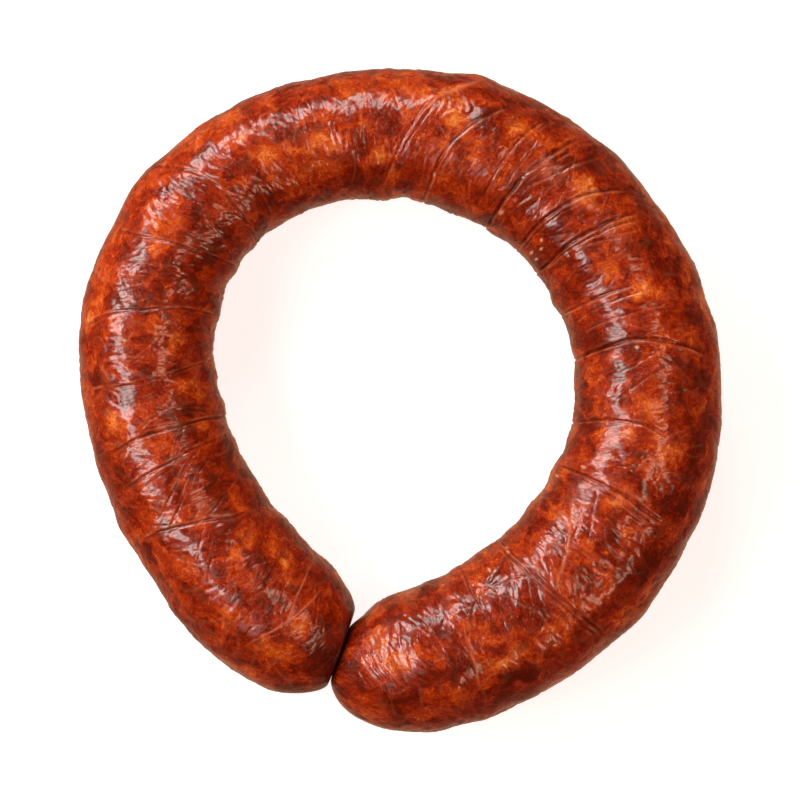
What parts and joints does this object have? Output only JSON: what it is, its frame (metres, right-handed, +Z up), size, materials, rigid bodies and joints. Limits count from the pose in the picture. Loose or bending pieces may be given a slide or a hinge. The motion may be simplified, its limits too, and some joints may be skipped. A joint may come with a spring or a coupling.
{
  "type": "cured sausage",
  "caption": "Cured sausage in a thin, creased natural casing, bent into a flat ring until its rounded ends touch.",
  "frame": {"origin": "centre of the ring's plan outline, on the surface that it rests on", "axes": "+Z up, along the shortest extent; +Y along the longest extent, from the ends that touch towards the far side of the ring; +X from the slimmer left end towards the fuller right side"},
  "size_m": [0.146, 0.1508, 0.035],
  "materials": {
    "casing": "thin glossy natural casing over coarse minced meat: dark red-brown lean mottled with orange-red and translucent peach fat, finely wrinkled"
  },
  "bodies": {
    "root": {"sausage": "casing"}
  },
  "joints": []
}
